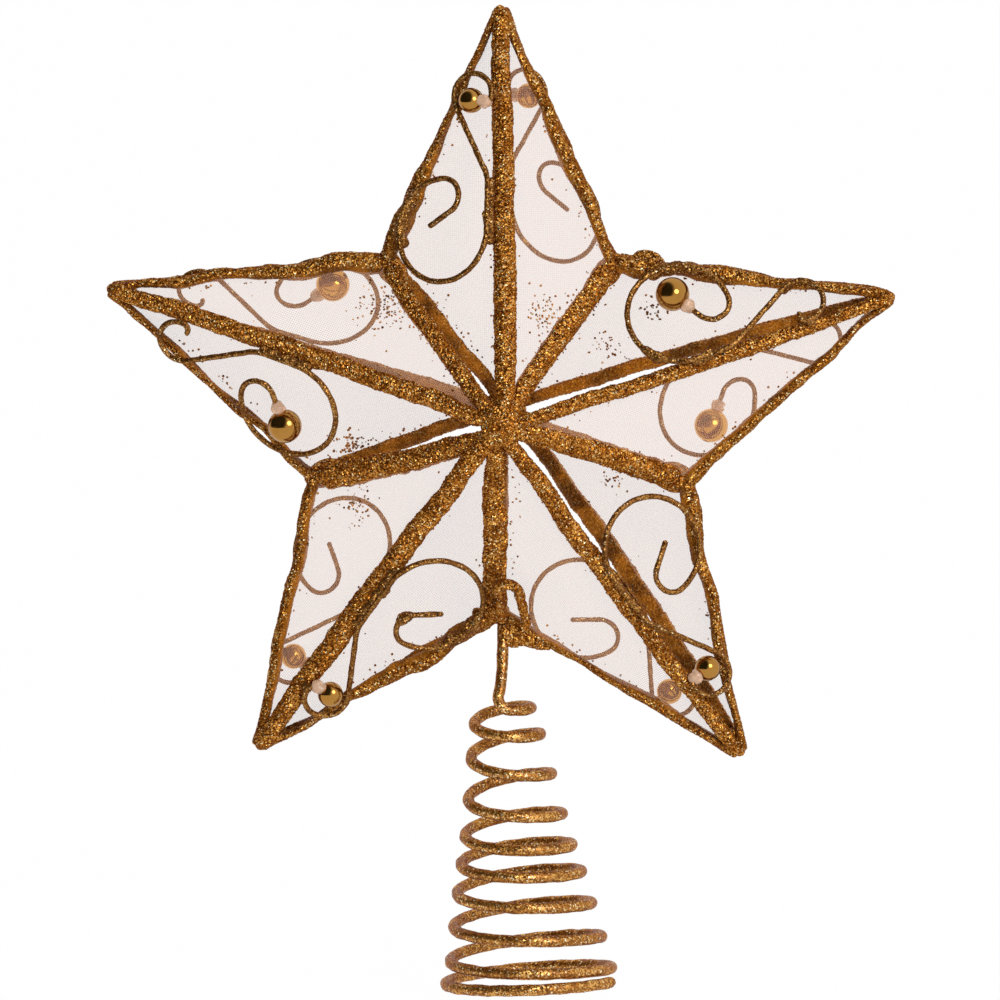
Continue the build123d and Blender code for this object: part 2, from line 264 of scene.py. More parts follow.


# glitter in glue: a cell for each flake with its own tone and tilt, in brighter and darker patches; the
# tones paint much of the light and shade that tilted flakes catch, from painted shade at Shadow to painted
# glints at Spark
def makeGlitterGroup():
    tree = bpy.data.node_groups.new("glitterFlakes", "ShaderNodeTree")
    sockets = [
        ("INPUT", "Vector", ["Vector"]), ("INPUT", "Float", ["Flakes", "Patches", "Tilt", "Spark Share"]),
        ("INPUT", "Color", ["Shadow", "Copper", "Gold", "Spark"]), ("OUTPUT", "Color", ["Color"]),
        ("OUTPUT", "Float", ["Metallic", "Roughness"]), ("OUTPUT", "Vector", ["Normal"]),
    ]
    for way, kind, labels in sockets:
        for label in labels:
            tree.interface.new_socket(name=label, in_out=way, socket_type="NodeSocket" + kind)
    given, result = tree.nodes.new("NodeGroupInput").outputs, tree.nodes.new("NodeGroupOutput")
    cells = addNode(
        tree, "ShaderNodeTexVoronoi", {"feature": "F1", "voronoi_dimensions": "3D"},
        {"Vector": given["Vector"], "Scale": given["Flakes"]},
    ).outputs["Color"]
    chance = addNode(tree, "ShaderNodeSeparateColor", inputs={0: cells}).outputs
    patch = mathNode(tree, "SUBTRACT", cloudNode(tree, given["Patches"], 2.0, given["Vector"]), 0.5)
    tone = mathNode(tree, "MULTIPLY_ADD", patch, flake.patchy, chance[0])
    colour = mixColour(tree, rampNode(tree, tone, *flake.copper), given["Shadow"], given["Copper"])
    colour = mixColour(tree, rampNode(tree, tone, *flake.gold), colour, given["Gold"])
    paintedGlintFrom = mathNode(tree, "SUBTRACT", 1.0, given["Spark Share"])
    isPaintedGlint = mathNode(tree, "GREATER_THAN", chance[1], paintedGlintFrom)
    away = vectorNode(tree, "SUBTRACT", {0: cells, 1: (0.5, 0.5, 0.5)})
    tilt = vectorNode(tree, "SCALE", {0: away, "Scale": given["Tilt"]})
    straight = addNode(tree, "ShaderNodeNewGeometry").outputs["Normal"]
    lean = vectorNode(tree, "ADD", {0: tilt, 1: straight})
    feed(tree, result, {
        "Color": mixColour(tree, isPaintedGlint, colour, given["Spark"]),
        "Metallic": rampNode(tree, tone, *flake.metallic),
        "Roughness": rampNode(tree, chance[2], *flake.rough),
        "Normal": vectorNode(tree, "NORMALIZE", {0: lean}),
    })
    return tree


glitterGroup = makeGlitterGroup()


def newMaterial(name):
    material = bpy.data.materials.new(name)
    material.use_nodes = True
    tree = material.node_tree
    return material, tree, tree.nodes["Principled BSDF"]


# Clear amber glue: its darkest tone, how far it hides and dulls the flakes, and its clouds
glue = Sizes(dark=(0.1, 0.03, 0.003, 1), hides=0.8, dulls=0.8, clouds=(110.0, 2.0), edge=(0.38, 0.64))


# glitter all over a wire, or with amber glue where the wire faces inwards
def glitterMaterial(name, look, varnish, amber=None):
    material, tree, shader = newMaterial(name)
    place = addNode(tree, "ShaderNodeTexCoord").outputs["Object"]
    flakes = addNode(tree, "ShaderNodeGroup", {"node_tree": glitterGroup}, {"Vector": place, **look}).outputs
    colour, metallic = flakes["Color"], flakes["Metallic"]
    if amber:
        cover = mathNode(tree, "MULTIPLY", innerNode(tree), glue.hides)
        clouds = rampNode(tree, cloudNode(tree, *glue.clouds), *glue.edge)
        colour = mixColour(tree, cover, colour, mixColour(tree, clouds, glue.dark, amber))
        dull = mathNode(tree, "MULTIPLY_ADD", cover, -glue.dulls, 1.0)
        metallic = mathNode(tree, "MULTIPLY", metallic, dull)
    feed(tree, shader, {
        "Base Color": colour, "Metallic": metallic, "Roughness": flakes["Roughness"],
        "Normal": flakes["Normal"], "Coat Weight": varnish, "Coat Roughness": 0.25,
        "Specular Tint": (0.55, 0.28, 0.1, 1),
    })
    return material


# flake palettes: Shadow is painted shade on the darkest flakes, Spark painted glints on a share of them
coarseFlakes = {
    "Flakes": 3300.0, "Patches": 300.0, "Tilt": 0.9, "Spark Share": 0.055,
    "Shadow": (0.13, 0.034, 0.003, 1), "Copper": (0.36, 0.118, 0.011, 1),
    "Gold": (0.74, 0.37, 0.08, 1), "Spark": (1.0, 0.84, 0.48, 1),
}
outlineFlakes = {**coarseFlakes, "Copper": (0.27, 0.089, 0.0083, 1), "Gold": (0.56, 0.28, 0.062, 1)}
fineFlakes = {
    "Flakes": 3600.0, "Patches": 330.0, "Tilt": 0.6, "Spark Share": 0.02,
    "Shadow": (0.1, 0.036, 0.006, 1), "Copper": (0.24, 0.095, 0.018, 1),
    "Gold": (0.52, 0.27, 0.07, 1), "Spark": (1.0, 0.82, 0.5, 1),
}
springFlakes = {
    "Flakes": 3000.0, "Patches": 170.0, "Tilt": 0.4, "Spark Share": 0.045,
    "Shadow": (0.18, 0.062, 0.008, 1), "Copper": (0.42, 0.165, 0.025, 1),
    "Gold": (0.84, 0.48, 0.145, 1), "Spark": (1.0, 0.85, 0.55, 1),
}
amberGlue = (0.5, 0.175, 0.012, 1)
outlineGlitter = glitterMaterial("outline_glitter", outlineFlakes, 0.03, (0.44, 0.154, 0.01, 1))
spokeGlitter = glitterMaterial("spoke_glitter", coarseFlakes, 0.03, amberGlue)
scrollGlitter = glitterMaterial("scroll_glitter", fineFlakes, 0.1)
springGlitter = glitterMaterial("spring_glitter", springFlakes, 0.25)
glueGlitter = glitterMaterial("glue_glitter", coarseFlakes, 0.03, amberGlue)
print("glitter ready")

# Points of the star, front half of the top arm, in millimetres
star = Sizes(
    tipRadius=98.0, cornerRadius=46.0, apexHeight=24.0, halfGap=1.325, arms=5,
    hubShift={"front": (2.4, 0.0, 1.0), "back": (-0.8, 0.0, 0.0)},  # both hubs sit a little off the middle
)
lowHub, highHub = (np.array(corner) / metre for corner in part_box("hub_glue"))
centre = (lowHub + highHub) / 2
armStep = 360.0 / star.arms
armsFront = ["top", "left", "lower_left", "lower_right", "right"]
armsBack = armsFront[:1] + armsFront[:0:-1]
cornersFront = ["upper_left", "lower_left", "bottom", "lower_right", "upper_right"]
cornersBack = cornersFront[::-1]
starHalves = (("front", armsFront), ("back", armsBack))
outFront = np.array([0.0, -1.0, 0.0])
nowhere = (0.0, 0.0, 0.0)


def ray(angle):
    return np.array([math.cos(math.radians(angle)), 0.0, math.sin(math.radians(angle))])


# a piece of the front top arm turned to another arm, and round to the back half
def aroundStar(points, index, back):
    turn = math.radians(armStep * index)
    x, y, z = np.moveaxis(np.asarray(points) - centre, -1, 0)
    x, z = x * math.cos(turn) - z * math.sin(turn), x * math.sin(turn) + z * math.cos(turn)
    if back:
        x, y = -x, -y
    return np.stack([x, y, z], -1) + centre


# a grid of the front top arm and its shade, put on another arm or half
def onArm(shaded, index, back=False):
    grid, inner = shaded
    return aroundStar(grid, index, back), inner


tip = centre + ray(90) * star.tipRadius
cornerLeft = centre + ray(90 + armStep / 2) * star.cornerRadius
cornerRight = centre + ray(90 - armStep / 2) * star.cornerRadius
tipFront = tip + outFront * star.halfGap
cornerLeftFront = cornerLeft + outFront * star.halfGap
cornerRightFront = cornerRight + outFront * star.halfGap
hubFront = centre + outFront * star.apexHeight
ridgeLine = unit(hubFront - tipFront)
outlineLine = unit(cornerLeftFront - tipFront)
facetAngle = math.degrees(math.acos(ridgeLine @ outlineLine))
hubSpots = {
    half: aroundStar(hubFront, 0, half == "back") + np.array(shift)
    for half, shift in star.hubShift.items()
}

# Outline: the front half's wire and the back half's side by side, under glue and glitter.
# Widths run from the tip to the corner.
outline = Sizes(
    widths={
        "top_to_upper_left": [1.8, 1.4, 2.0, 1.6, 3.8, 4.4, 3.4],
        "top_to_upper_right": [2.0, 1.9, 2.9, 3.5, 3.9, 2.8, 2.6],
        "left_to_upper_left": [1.6, 2.2, 2.8, 2.4, 3.9, 4.8, 5.2],
        "left_to_lower_left": [1.8, 1.7, 2.1, 1.6, 1.8, 2.3, 2.4],
        "lower_left_to_lower_left": [2.2, 2.5, 2.9, 2.9, 3.0, 2.9, 2.8],
        "lower_left_to_bottom": [2.1, 1.9, 1.9, 3.6, 4.4, 3.8, 3.2],
        "lower_right_to_bottom": [2.0, 2.2, 3.0, 1.7, 1.6, 1.7, 3.0],
        "lower_right_to_lower_right": [1.9, 1.9, 2.3, 2.8, 3.0, 3.6, 4.6],
        "right_to_lower_right": [1.6, 1.8, 2.5, 2.7, 2.7, 2.8, 3.9],
        "right_to_upper_right": [2.2, 2.2, 2.3, 2.3, 2.4, 2.6, 3.2, 4.3, 4.2, 3.0, 2.8, 5.0, 4.4],
    },
    bumps={  # distance from the corner, distance outwards, half sizes along, across and deep
        "right_to_upper_right": (7.6, 1.7, (3.8, 1.9, 1.9)),
    },
    bumpRough=(0.1, 0.08),
    backShare=0.84,
    start=1.2,
    depth=1.35,
    depthShare=0.75,
    wander=0.28,
    coat=Sizes(step=0.34, sides=22, lump=0.06, spacing=8.0, grain=0.05),
)


def makeOutlines():
    for index, arm in enumerate(armsFront):
        for place, corner in ((index, cornerLeft), (index - 1, cornerRight)):
            side = f"{arm}_to_{cornersFront[place]}"
            rng = np.random.default_rng(100 + 10 * index + place)
            line = unit(corner - tip)
            inwards = unit(ray(270) - (ray(270) @ line) * line)
            halves = np.array(outline.widths[side]) / 2
            grids = []
            for offset, share in ((-1, 1.0), (1, outline.backShare)):
                aside = np.array([0, offset * star.halfGap, 0])
                ends = [tip + line * outline.start + aside, corner + aside]
                depths = np.maximum(halves * share * outline.depthShare, outline.depth)
                grids.append(coatedWire(
                    rng, ends, np.cross(line, outFront), halves * share, depths, outline.coat,
                    inwards, outline.wander,
                ))
            if side in outline.bumps:
                back, out, sizes = outline.bumps[side]
                spot = corner - line * back - inwards * out
                grids.append(blob(rng, spot, outFront, line, sizes, outline.bumpRough))
            mesh = closedMesh(side + "_outline_coat", [onArm(grid, index) for grid in grids])
            addPiece(mesh, outlineGlitter, nodes=[side + "_outline_wires"])


makeOutlines()
print("outlines coated")

# Spokes: a broad band of glitter over each ridge and valley wire, wider on the side with mesh
spoke = Sizes(
    ridgeWidths=[3.2, 3.8, 4.2, 4.4, 4.4, 4.2, 3.4],  # tip to hub
    valleyWidths=[5.2, 5.0, 4.6, 4.4, 3.6],  # corner to hub
    share={
        "front_lower_left_ridge": 1.22, "front_lower_right_valley": 1.15, "front_bottom_valley": 1.18,
        "front_right_ridge": 0.82, "front_left_ridge": 1.05, "front_top_ridge": 1.18,
        "front_upper_left_valley": 0.88, "front_lower_left_valley": 1.18, "back_lower_right_ridge": 0.9,
        "back_left_ridge": 0.95,
    },
    shift={
        "front_top_ridge": 0.45, "front_bottom_valley": 0.35, "front_lower_left_valley": -1.3,
        "back_lower_right_ridge": 1.9,
    },
    backShare=0.7,
    backIn=0.8,
    start=1.5,
    aside={  # at the hub
        "front_top_ridge": (1.0, 0.0, 0.0), "front_bottom_valley": (-0.9, 0.0, 0.0),
        "front_lower_left_valley": (0.0, 0.0, -1.2),
    },
    asideStart={"front_bottom_valley": (-0.9, 0.0, -2.6)},
    depth=1.6,
    ridgeShift=0.9,  # towards the mesh
    valleyShift=-0.7,
    wander=0.13,
    points=40,
    bow=0.6,  # below one, the shift is reached sooner
    vary=(0.93, 1.07),
    coat=Sizes(step=0.32, sides=30, lump=0.03, spacing=5.0, grain=0.095),
)


def makeSpokes(half, arms, corners):
    back = half == "back"
    outwards = outFront * (-1 if back else 1)
    hub = hubSpots[half]
    ease = np.linspace(0, 1, spoke.points)[:, None]
    bow = np.sin(np.pi * ease) ** spoke.bow
    for index, (arm, corner) in enumerate(zip(arms, corners)):
        runs = [
            (f"{half}_{arm}_ridge", tipFront, spoke.ridgeWidths, spoke.ridgeShift),
            (f"{half}_{corner}_valley", cornerLeftFront, spoke.valleyWidths, spoke.valleyShift),
        ]
        for number, (name, begin, widths, shift) in enumerate(runs):
            rng = np.random.default_rng(300 + 40 * back + 4 * index + number)
            begin = aroundStar(begin, index, back)
            end = hub + np.array(spoke.aside.get(name, nowhere))
            line = unit(end - begin)
            across = unit(np.cross(outwards, line))
            begin = begin + line * spoke.start + np.array(spoke.asideStart.get(name, nowhere))
            shift = spoke.shift.get(name, shift)
            path = begin + (end - begin) * ease + across * shift * bow
            if back:
                path = path - outwards * spoke.backIn * bow
            share = spoke.share.get(name, spoke.backShare if back else 1.0)
            halves = np.array(widths) / 2 * share * rng.uniform(*spoke.vary, len(widths))
            grid = coatedWire(rng, path, across, halves, spoke.depth, spoke.coat, -outwards, spoke.wander)
            mesh = closedMesh(name + "_coat", [grid])
            addPiece(mesh, spokeGlitter, nodes=[name + "_wire"])


makeSpokes("front", armsFront, cornersFront)
makeSpokes("back", armsBack, cornersBack)
print("spokes coated")

# Lumps of glue full of glitter at the hubs, tips and corners
lump = Sizes(
    hub=(4.8, 4.8, 3.4),
    hubIn=1.0,
    corners={"upper_left": 3.1, "lower_left": 3.0, "lower_right": 3.4, "upper_right": 2.9},
    cornerLonger=1.5,  # along the valley
    cornerOut=2.0,  # how far a corner's lump reaches beyond the corner
    cornerDepth=2.7,
    capLength=7.6,
    capIn=0.2,
    capWidths=[5.7, 5.4, 4.6, 3.7, 2.7, 1.8],
    capDepths=[6.4, 5.9, 5.0, 3.8, 2.8, 1.8],
    rough=(0.06, 0.08),
    coat=Sizes(step=0.3, sides=34, lump=0.06, spacing=3.5, grain=0.07),
)


def makeLumps():
    rng = np.random.default_rng(11)
    hubs = []
    for half, outwards in (("front", outFront), ("back", -outFront)):
        spot = hubSpots[half] - outwards * lump.hubIn
        hubs.append(blob(rng, spot, outwards, (1, 0, 0), lump.hub, lump.rough, 60, 72))
    addPiece(closedMesh("hub_lumps", hubs), glueGlitter, nodes=["hub_glue"])
    ends = [tip - ray(90) * lump.capLength, tip - ray(90) * lump.capIn]
    widths, depths = np.array(lump.capWidths) / 2, np.array(lump.capDepths) / 2
    inwards = unit(centre - cornerLeft)
    caps, balls = [], []
    for index, corner in enumerate(cornersFront):
        caps.append(onArm(coatedWire(rng, ends, (1, 0, 0), widths, depths, lump.coat), index))
        if corner in lump.corners:
            size = lump.corners[corner]
            length = size + lump.cornerLonger
            spot = cornerLeft + inwards * (length - lump.cornerOut)
            sizes = (length, size, lump.cornerDepth)
            balls.append(onArm(blob(rng, spot, outFront, inwards, sizes, lump.rough), index))
    addPiece(closedMesh("tip_caps", caps), glueGlitter, nodes=["tip_glue"])
    addPiece(closedMesh("corner_lumps", balls), glueGlitter, nodes=["valley_glue"])


makeLumps()
print("lumps made")

# Scrolls: tip curl, tip loop, slant to the ridge, run along it, big loop and its curl
scroll = Sizes(
    wire={"front": 1.34, "back": 1.1}, lift=2.65, tipLoop=5.2, tipCurl=1.6, freeTurn=135.0,
    bend=8.0, bendReach=43.0, bigLoop=12.2, bigCurl=4.2, curlTurn=150.0,
    tail=7.0, lead=4.4, beadShift=1.25, beadSide=20.0, bigBead=8.0, smallBead=6.0,
    grip=1.5, bigBeadArms=["left", "right"],
    reach={
        "front": {"top": 53.0, "left": 51.0, "lower_left": 55.0, "lower_right": 53.5, "right": 49.5},
        "back": {"top": 50.5, "left": 50.5, "lower_left": 50.0, "lower_right": 50.5, "right": 52.0},
    },
    coat=Sizes(step=0.34, sides=16, lump=0.045, spacing=5.0, grain=0.022),
    drop=(1.75, 1.65, 1.9), dropOut=0.7, dropRough=(0.06, 0.0),
)
# Glue on the scrolls: wads and swellings on arcs of their loops, and a seam from the run to the ridge
scrollGlue = Sizes(
    wadArms=["front_top", "front_lower_left", "front_right"],
    wads=[  # loop, where the arc begins, how far it turns, half depth
        ("big", 72, 62, 1.5), ("big", -112, 30, 1.25), ("leave", -12, 40, 1.0), ("tip", 252, 30, 1.1),
    ],
    swells={  # the same, with the half size
        "front_lower_left": ("curl", 262, 68, 1.4), "front_right": ("big", -62, 38, 1.3),
    },
    seamArms=["front_top", "front_left", "front_lower_left"],
    seamSize=1.05, seamBefore=2, seamAfter=4, seamShare=0.6,
    lift=0.55, wider=1.15,
    coat=Sizes(step=0.32, sides=20, lump=0.1, spacing=4.0, grain=0.06),
)
facetNormal = unit(np.cross(ridgeLine, outlineLine))
facetAcross = np.cross(facetNormal, ridgeLine)


def onCircle(middle, radius, angle):
    angle = np.radians(angle)
    return np.asarray(middle) + radius * np.stack([np.cos(angle), np.sin(angle)], -1)


def arcPoints(middle, radius, begin, turn):
    return onCircle(middle, radius, np.linspace(begin, begin + turn, max(int(abs(turn) / 4), 6)))


def heading(angle):
    return np.array([-math.sin(math.radians(angle)), math.cos(math.radians(angle))])


# flat point (along the ridge, towards the outline) put on the open facet, lifted clear of its wires
def onFacet(flat, lift):
    flat = np.atleast_2d(flat)
    return tipFront + flat[:, :1] * ridgeLine + flat[:, 1:] * facetAcross - facetNormal * lift


# the scroll as one flat path from its tip end to its big end, its loops for the glue, the ends of its
# seam, and the bead's place, direction and size
def scrollPath(bigEnd, reach):
    halfSlope = math.tan(math.radians(facetAngle / 2))
    big = np.array([reach, reach * halfSlope])
    small = np.array([scroll.tipLoop / halfSlope, scroll.tipLoop])
    run = big[1] - scroll.bigLoop
    bend = np.array([scroll.bendReach, run + scroll.bend])
    apart = bend - small
    lean = (scroll.bend + scroll.tipLoop) / np.linalg.norm(apart)
    along = unit(apart)
    normal = along * lean + np.array([-along[1], along[0]]) * math.sqrt(1 - lean * lean)
    leave = math.degrees(math.atan2(normal[1], normal[0]))
    tipCurl = onCircle(small, scroll.tipLoop - scroll.tipCurl, 270)
    bigCurl = onCircle(big, scroll.bigLoop - scroll.bigCurl, 180)
    curlStop = 180 + scroll.curlTurn
    curlEnd, curlWay = onCircle(bigCurl, scroll.bigCurl, curlStop), heading(curlStop)
    if bigEnd:
        turn, bead, way = scroll.freeTurn, scroll.bigBead, curlWay
        middle = curlEnd + way * (scroll.lead + bead / 2)
        head, tail = None, middle - way * (bead / 2 - scroll.grip)
    else:
        bead = scroll.smallBead
        middle = onCircle(small, scroll.beadShift, scroll.beadSide)
        toBead = middle - tipCurl
        swing = math.acos(scroll.tipCurl / np.linalg.norm(toBead))
        touch = math.degrees(math.atan2(toBead[1], toBead[0]) - swing)
        turn, way = touch + 90, heading(touch)
        head, tail = middle - way * (bead / 2 - scroll.grip), curlEnd + curlWay * scroll.tail
    runs = [
        arcPoints(tipCurl, scroll.tipCurl, 270 + turn, -turn),
        arcPoints(small, scroll.tipLoop, 270, leave - 270),
        arcPoints(bend, scroll.bend, leave - 180, 90 - leave),
        arcPoints(big, scroll.bigLoop, -90, 270),
        arcPoints(bigCurl, scroll.bigCurl, 180, scroll.curlTurn),
        [tail],
    ]
    if head is not None:
        runs.insert(0, [head])
    loops = {  # middle, radius and the angle that arcs are counted from
        "big": (big, scroll.bigLoop, 0), "curl": (bigCurl, scroll.bigCurl, 0),
        "tip": (small, scroll.tipLoop, 0), "leave": (small, scroll.tipLoop, leave),
    }
    aside = run * scrollGlue.seamShare
    seam = [[scroll.bendReach - scrollGlue.seamBefore, aside], [reach + scrollGlue.seamAfter, aside]]
    return np.concatenate(runs), loops, seam, middle, way, bead


def loopArc(loops, where, begin, turn):
    middle, radius, start = loops[where]
    return arcPoints(middle, radius, start + begin, turn)


# a bead: a ball with a rounded hole sunk into both ends of its axis
def beadGrid(middle, axis, radius, hole=0.85, deep=1.5, rings=40, sides=64):
    edge = math.asin(hole / radius)
    turn = np.linspace(edge, np.pi - edge, rings)
    rim = np.array([[0.05, -radius + deep], [hole * 0.96, -radius + deep], [hole * 0.98, -radius * 0.985]])
    shell = np.stack([np.sin(turn) * radius, -np.cos(turn) * radius], 1)
    profile = np.concatenate([rim, shell, (rim * [1, -1])[::-1]])
    around = circleAngles(sides)
    axis = unit(axis)
    side = unit(np.cross(axis, [0.3, 0.5, 0.8]))
    third = np.cross(axis, side)
    circle = side * np.cos(around)[:, None] + third * np.sin(around)[:, None]
    return np.asarray(middle) + profile[:, :1, None] * circle + profile[:, 1:, None] * axis


# gold beads with painted light and shade: the back half's, seen through the mesh of the front half, painted
# a brighter gold for the light inside the star; the front half's a darker gold that holds painted shade too
def makeLitAndShadedBeadMaterial():
    material, tree, shader = newMaterial("gold_bead_painted_light_and_shade")
    smudge = cloudNode(tree, 420.0, 4.0)
    # front half: the darker gold with painted shade; back half: the brighter gold as painted light
    front = mixColour(tree, smudge, (0.36, 0.158, 0.027, 1), (0.47, 0.246, 0.06, 1))
    back = mixColour(tree, smudge, (0.6, 0.25, 0.03, 1), (0.78, 0.38, 0.07, 1))
    feed(tree, shader, {
        "Base Color": mixColour(tree, innerNode(tree), front, back),
        "Roughness": rampNode(tree, smudge, 0.35, 0.7, 0.07, 0.2), "Metallic": 1.0,
    })
    return material


def makeGlueMaterial():
    material, tree, shader = newMaterial("clear_bead_glue")
    cloud = cloudNode(tree, 700.0, 3.0)
    feed(tree, shader, {
        "Base Color": mixColour(tree, cloud, (0.9, 0.53, 0.33, 1), (1.0, 0.72, 0.51, 1)),
        "Roughness": rampNode(tree, cloud, 0.3, 0.7, 0.08, 0.28), "Transmission Weight": 0.5, "IOR": 1.46,
    })
    return material


beadGoldLitAndShaded = makeLitAndShadedBeadMaterial()
dropGlue = makeGlueMaterial()


def makeScrolls():
    rng = np.random.default_rng(29)
    drops = []
    for half, arms in starHalves:
        back = half == "back"
        radius = scroll.wire[half] / 2
        beads = []
        for index, arm in enumerate(arms):
            name = f"{half}_{arm}"
            big, reach = arm in scroll.bigBeadArms, scroll.reach[half][arm]
            flat, loops, seam, middle, way, bead = scrollPath(big, reach)
            path = onFacet(flat, scroll.lift)
            grids = [coatedWire(rng, path, -facetNormal, radius, radius, scroll.coat)]
            glued = []
            if name in scrollGlue.wadArms:
                glued += [(loopArc(loops, *arc), size) for *arc, size in scrollGlue.wads]
            if name in scrollGlue.seamArms:
                glued.append((seam, scrollGlue.seamSize))
            for flat, size in glued:
                path, wide = onFacet(flat, scroll.lift * scrollGlue.lift), size * scrollGlue.wider
                grids.append(coatedWire(rng, path, -facetNormal, wide, size, scrollGlue.coat))
            if name in scrollGlue.swells:
                *arc, size = scrollGlue.swells[name]
                path, sizes = onFacet(loopArc(loops, *arc), scroll.lift), [radius, size, size, radius]
                grids.append(coatedWire(rng, path, -facetNormal, sizes, sizes, scrollGlue.coat))
            mesh = closedMesh(name + "_scroll_coat", [onArm(grid, index, back) for grid in grids])
            addPiece(mesh, scrollGlitter, nodes=[name + "_scroll_wire"])
            spot = onFacet(middle, scroll.lift)[0]
            axis = way[0] * ridgeLine + way[1] * facetAcross
            ball = beadGrid(spot, axis, bead / 2)
            # a bead's inner shade marks the back half, whose gold is painted brighter as light
            beads.append(onArm((ball, np.full(ball.shape[:2], float(back))), index, back))
            spot = spot - axis * (bead / 2 + scroll.dropOut)
            drop = blob(rng, spot, axis, facetNormal, scroll.drop, scroll.dropRough, 26, 30)
            drops.append(onArm(drop, index, back))
        mesh = closedMesh(f"{half}_gold_beads", beads)
        addPiece(mesh, beadGoldLitAndShaded, nodes=[f"{half}_beads"], smooth=True)
    mesh = closedMesh("bead_drops", drops)
    addPiece(mesh, dropGlue, nodes=["bead_glue_drops"], smooth=True)


makeScrolls()
print("scrolls, beads and drops made")

# Sheer mesh: one cut triangle on each arm, stretched from the ridge to the outline
sheer = Sizes(
    pitch=0.5, thread=0.2, edge=0.1, film=0.22, weave=0.19, through=0.5,
    # the colour is the ivory thread's own, with painted warm light from the glitter in it
    colour=(0.92, 0.55, 0.38, 1), paler=1.08, holes=(0.93, 0.963, 0.98, 1),
    shade=0.3,  # share of its cover that counts in a shadow
    rows=60, columns=24, down=(0.05, 0.985),  # from near the tip to near the valley
    ripple=0.12, rippleSpacing=30.0, ripples=8, sag=0.15, askew=0.08,
)


# plain weave from the UV map: a thread wherever either way is near the middle of its pitch
def makeSheerMaterial():
    material, tree, shader = newMaterial("sheer_plain_weave")
    place = addNode(tree, "ShaderNodeTexCoord").outputs["UV"]
    ways = addNode(tree, "ShaderNodeSeparateXYZ", inputs={0: place}).outputs
    half = sheer.thread / 2
    threads = []
    for way in (0, 1):
        turn = mathNode(tree, "FRACT", ways[way])
        fromMiddle = mathNode(tree, "ABSOLUTE", mathNode(tree, "SUBTRACT", turn, 0.5))
        threads.append(rampNode(tree, fromMiddle, half, half + sheer.edge, 1.0, 0.0))
    cover = mathNode(tree, "MAXIMUM", *threads)
    pale = tuple(min(1.0, value * sheer.paler) for value in sheer.colour[:3]) + (1,)
    tint = mixColour(tree, cloudNode(tree, 90.0, 3.0), sheer.colour, pale)
    raised = addNode(tree, "ShaderNodeBump", inputs={"Strength": 0.25, "Distance": 0.0001, "Height": cover})
    feed(tree, shader, {
        "Base Color": tint, "Normal": raised.outputs[0], "Roughness": 0.55, "Specular IOR Level": 0.0,
    })
    behind = addNode(tree, "ShaderNodeBsdfTranslucent", inputs={"Color": tint})  # thread lit from behind
    thread = mixShaders(tree, sheer.through, shader.outputs[0], behind.outputs[0])
    holes = addNode(tree, "ShaderNodeBsdfTransparent", inputs={"Color": sheer.holes})
    cover = mathNode(tree, "MULTIPLY_ADD", cover, sheer.weave, sheer.film)
    shadow = addNode(tree, "ShaderNodeLightPath").outputs["Is Shadow Ray"]
    shaded = mathNode(tree, "MULTIPLY_ADD", shadow, sheer.shade - 1.0, 1.0)
    mixSurface(tree, mathNode(tree, "MULTIPLY", cover, shaded), holes.outputs[0], thread)
    return material


sheerWeave = makeSheerMaterial()


# an arm's mesh triangle: its tip, its ways to the hub and to the corner, and its outward normal
def panelFrame(half, index):
    begin = aroundStar(tipFront, index, half == "back")
    toHub = hubSpots[half] - begin
    toCorner = aroundStar(cornerRightFront, index, half == "back") - begin
    return begin, toHub, toCorner, unit(np.cross(toCorner, toHub))


# the triangle as a grid: from the tip to the valley along one way, ridge to outline along the other
def makeSheets():
    rows, columns = sheer.rows, sheer.columns
    down = np.linspace(*sheer.down, rows)[:, None]
    over = np.linspace(0.0, 1.0, columns)[None, :]
    ease = np.sin(np.pi * over) * np.sin(np.pi * down)
    ids = np.arange(rows * columns).reshape(rows, columns)
    faces = np.stack([ids[:-1, :-1], ids[1:, :-1], ids[1:, 1:], ids[:-1, 1:]], -1).reshape(-1, 4)
    for half, arms in starHalves:
        for index, arm in enumerate(arms):
            rng = np.random.default_rng(500 + 10 * (half == "back") + index)
            begin, toHub, toCorner, normal = panelFrame(half, index)
            length = np.linalg.norm(toHub)
            along = toHub / length
            sideways = np.cross(along, normal)
            flat = begin + down[..., None] * (toHub * (1 - over)[..., None] + toCorner * over[..., None])
            ripple = waves(rng, down[:, 0] * length, over[0] * 3, sheer.rippleSpacing, sheer.ripples)
            panel = flat + normal * (ease * (sheer.ripple * ripple - sheer.sag))[..., None]
            turn = rng.uniform(-sheer.askew, sheer.askew)
            run, rise = (flat - begin) @ along, (flat - begin) @ sideways
            threads = np.stack([
                run * math.cos(turn) - rise * math.sin(turn), run * math.sin(turn) + rise * math.cos(turn),
            ], -1).reshape(-1, 2) / sheer.pitch
            mesh = rawMesh(f"{half}_{arm}_sheer_mesh", panel.reshape(-1, 3), [faces])
            layer = mesh.uv_layers.new(name="weave")
            layer.data.foreach_set("uv", threads[faces.ravel()].astype(np.float32).ravel())
            piece = addPiece(mesh, sheerWeave, nodes=[f"{half}_{arm}_mesh_panel"], smooth=True)


makeSheets()
print("mesh stretched")

